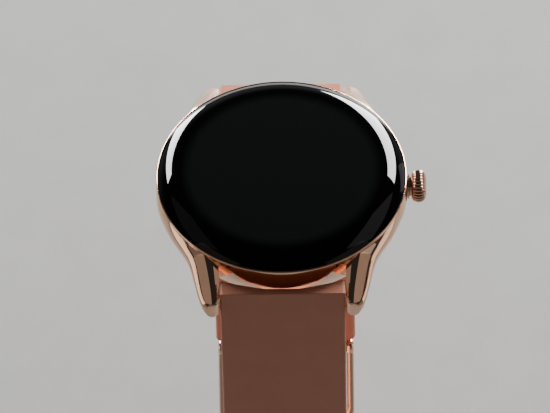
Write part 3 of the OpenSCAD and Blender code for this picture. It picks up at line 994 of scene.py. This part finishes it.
def build_back():
    """The back cover, which swells up to the case wall, with seats for the window, pins and screws."""
    seat, lip, edge = WINDOW_R + 0.02, WINDOW_R - 0.8, 0.08
    profile = [(lip, BASE_Z), (lip, WINDOW_TOP), (seat, WINDOW_TOP), (seat, COVER_Z + edge),
               (seat + edge, COVER_Z)]
    flat_r, swell_steps = 11.0, 32
    swell = [(flat_r, 0.0), (13.0, 0.02), (15.2, 0.22), (16.6, 0.6), (17.7, 1.02), (COVER_R - 0.12, 1.32),
             (COVER_R, BASE_Z - COVER_Z)]
    for i in range(swell_steps + 1):
        r = flat_r + (COVER_R - flat_r) * i / swell_steps
        profile.append((r, COVER_Z + curve(swell, r)))
    cover = lathe("back_cover_body", profile, 256, sharp=30)
    below, above = -1, 4              # the cutters reach past both faces of the cover
    pins_low, pins_high = low("charging_pins"), high("charging_pins")
    pin_r = (pins_high.y - pins_low.y) / 2
    pin_seat = [(0, below), (pin_r + 0.02, below), (pin_r + 0.02, above), (0, above)]
    cutters = []
    for side in (-1, 1):
        centre = Vector((side * (pins_high.x - pin_r), pins_low.y + pin_r, 0))
        cutters.append(lathe("seat", pin_seat, 48, Matrix.Translation(centre)))
    head_r, head_z, neck_r, pitch = 1.05, 1.6, 0.55, 15.3
    screw_seat = [(0, below), (head_r, below), (head_r, head_z), (neck_r, head_z), (neck_r, above),
                  (0, above)]
    for degrees in (45, 135, 225, 315):
        centre = Matrix.Rotation(math.radians(degrees), 4, "Z") @ Vector((pitch, 0, 0))
        cutters.append(lathe("recess", screw_seat, 48, Matrix.Translation(centre)))
    cut(cover, joined("cutters", cutters))
    shade(cover, 30)
    weighted(cover)
    place(cover, "case", "back_plastic", BACK, "back_cover")


def build_window():
    """The sensor window, flat in the middle and rounded at its edge."""
    edge_r, edge_z = 0.9, 0.75
    profile = [(0, 0), (WINDOW_R - 1.2, 0)]
    profile += arc(WINDOW_R - edge_r, edge_z, edge_r, -70, 0, 10)
    profile += [(WINDOW_R, WINDOW_TOP), (0, WINDOW_TOP)]
    window = lathe("sensor_window_body", [(r, max(0.0, z)) for r, z in profile], 192, sharp=35)
    place(window, "case", "sensor_glass", WINDOW, "sensor_window")


def dress(node, material, width):
    """Gives a CAD node that is shown as it is a finish and rounded edges."""
    obj = frame["nodes"][node]
    obj.data.materials.clear()
    obj.data.materials.append(material)
    bevel(obj, width, 2, 35)


build_back()
build_window()
dress("charging_pins", CONTACT, 0.06)
dress("back_screws", BRIGHT_STEEL, 0.04)


# ---- Floor, light and camera ----

def build_floor():
    """A plain pale floor just under the lowest piece."""
    lowest = min(low("strap_long").z, low("buckle_frame").z)
    half = 4000
    z = lowest - 0.2
    grey, other_grey = (0.27, 0.27, 0.265), (0.258, 0.258, 0.253)
    floor = make_object("floor", [(-half, -half, z), (half, -half, z), (half, half, z), (-half, half, z)],
                        [(0, 1, 2, 3)], False)
    paint = moulded("floor_paint", grey, other_grey, rough=(0.6, 0.7), grain=0.03, scale=3000)
    floor.data.materials.append(paint)


CENTRE = Vector((0, 0, RIM_Z)) * MM


def softbox(name, azimuth, elevation, distance, wide, tall, radiance, lean=0.0, colour=(1, 1, 1)):
    """An area light aimed at the watch, whose size and lean are in degrees as the watch sees it.
    Azimuth 0 is behind the watch, at 12 o'clock, and 90 is at 3 o'clock."""
    a, e = math.radians(azimuth), math.radians(elevation)
    toward = Vector((math.sin(a) * math.cos(e), math.cos(a) * math.cos(e), math.sin(e)))
    data = bpy.data.lights.new(name, "AREA")
    data.shape = "RECTANGLE"
    data.size = 2 * distance * math.tan(math.radians(wide / 2))
    data.size_y = 2 * distance * math.tan(math.radians(tall / 2))
    data.energy = radiance * math.pi * data.size * data.size_y
    data.color = colour
    light = bpy.data.objects.new(name, data)
    light.visible_camera = False
    facing = toward.to_track_quat("Z", "Y").to_matrix().to_4x4()
    light.matrix_world = (Matrix.Translation(CENTRE + toward * distance) @ facing
                          @ Matrix.Rotation(math.radians(lean), 4, "Z"))
    bpy.context.scene.collection.objects.link(light)


def build_lights():
    """Two tall strips for the bright lines on the glass, and softer boxes for the metal and the strap."""
    warm = (1, 0.90, 0.80)
    softbox("right_strip", 26, 20, 0.9, 18, 47, 40, lean=29)
    softbox("left_strip", -31, 14, 0.9, 11, 47, 40, lean=-26)
    softbox("right_side", 76, 50, 1.1, 36, 22, 0.4)
    softbox("left_side", -76, 50, 1.1, 36, 22, 0.15)
    softbox("right_facet", 119, 42, 1.1, 28, 20, 0.30, colour=warm)
    softbox("left_facet", -119, 42, 1.1, 28, 20, 0.27, colour=warm)
    softbox("right_flank", 90, 8, 1.3, 26, 28, 1.1, colour=warm)
    softbox("left_flank", -96, 12, 1.3, 26, 28, 1.4, colour=warm)
    softbox("right_wall", 52, 8, 1.3, 16, 26, 0.9)
    softbox("front_fill", 180, 29, 1.2, 90, 9, 0.3, colour=warm)


def build_world():
    """Soft studio surround: a grey horizon that darkens upward."""
    horizon, overhead = (0.24, 0.24, 0.245), (0.028, 0.028, 0.03)
    fade_from, fade_to = 0.1, 0.45    # height in the surround, from 0 at the horizon to 1 overhead
    world = bpy.data.worlds.new("studio")
    world.use_nodes = True
    tree = world.node_tree
    split = tree.nodes.new("ShaderNodeSeparateXYZ")
    tree.links.new(tree.nodes.new("ShaderNodeTexCoord").outputs["Generated"], split.inputs[0])
    fade = tree.nodes.new("ShaderNodeMapRange")
    fade.interpolation_type = "SMOOTHSTEP"
    fade.inputs["From Min"].default_value = fade_from
    fade.inputs["From Max"].default_value = fade_to
    tree.links.new(split.outputs["Z"], fade.inputs["Value"])
    mix = tree.nodes.new("ShaderNodeMix")
    mix.data_type = "RGBA"
    mix.inputs[6].default_value = (*horizon, 1)
    mix.inputs[7].default_value = (*overhead, 1)
    tree.links.new(fade.outputs["Result"], mix.inputs[0])
    tree.links.new(mix.outputs[2], tree.nodes["Background"].inputs["Color"])
    bpy.context.scene.world = world


def build_camera():
    """A long lens 1 m from the rim's centre, aimed a little to the left of it and below it."""
    azimuth, elevation, roll = math.radians(0.542), math.radians(49.755), math.radians(-1.178)
    distance = 1.0
    aim_right, aim_up = -0.00104, -0.00496    # from the rim's centre, in metres
    back = Vector((math.sin(azimuth) * math.cos(elevation), -math.cos(azimuth) * math.cos(elevation),
                   math.sin(elevation)))
    right = Vector((math.cos(azimuth), math.sin(azimuth), 0))
    up = back.cross(right)
    axis_x = math.cos(roll) * right + math.sin(roll) * up
    axis_y = math.cos(roll) * up - math.sin(roll) * right
    place_at = CENTRE + back * distance
    back = (place_at - CENTRE - axis_x * aim_right - axis_y * aim_up).normalized()
    axis_y = back.cross(axis_x).normalized()
    axis_x = axis_y.cross(back)
    data = bpy.data.cameras.new("camera")
    data.sensor_fit = "HORIZONTAL"
    data.sensor_width = 36
    data.lens = 409.2
    camera = bpy.data.objects.new("camera", data)
    turn = Matrix((axis_x, axis_y, back)).transposed().to_4x4()
    camera.matrix_world = Matrix.Translation(place_at) @ turn
    bpy.context.scene.collection.objects.link(camera)
    bpy.context.scene.camera = camera


build_floor()
build_lights()
build_world()
build_camera()
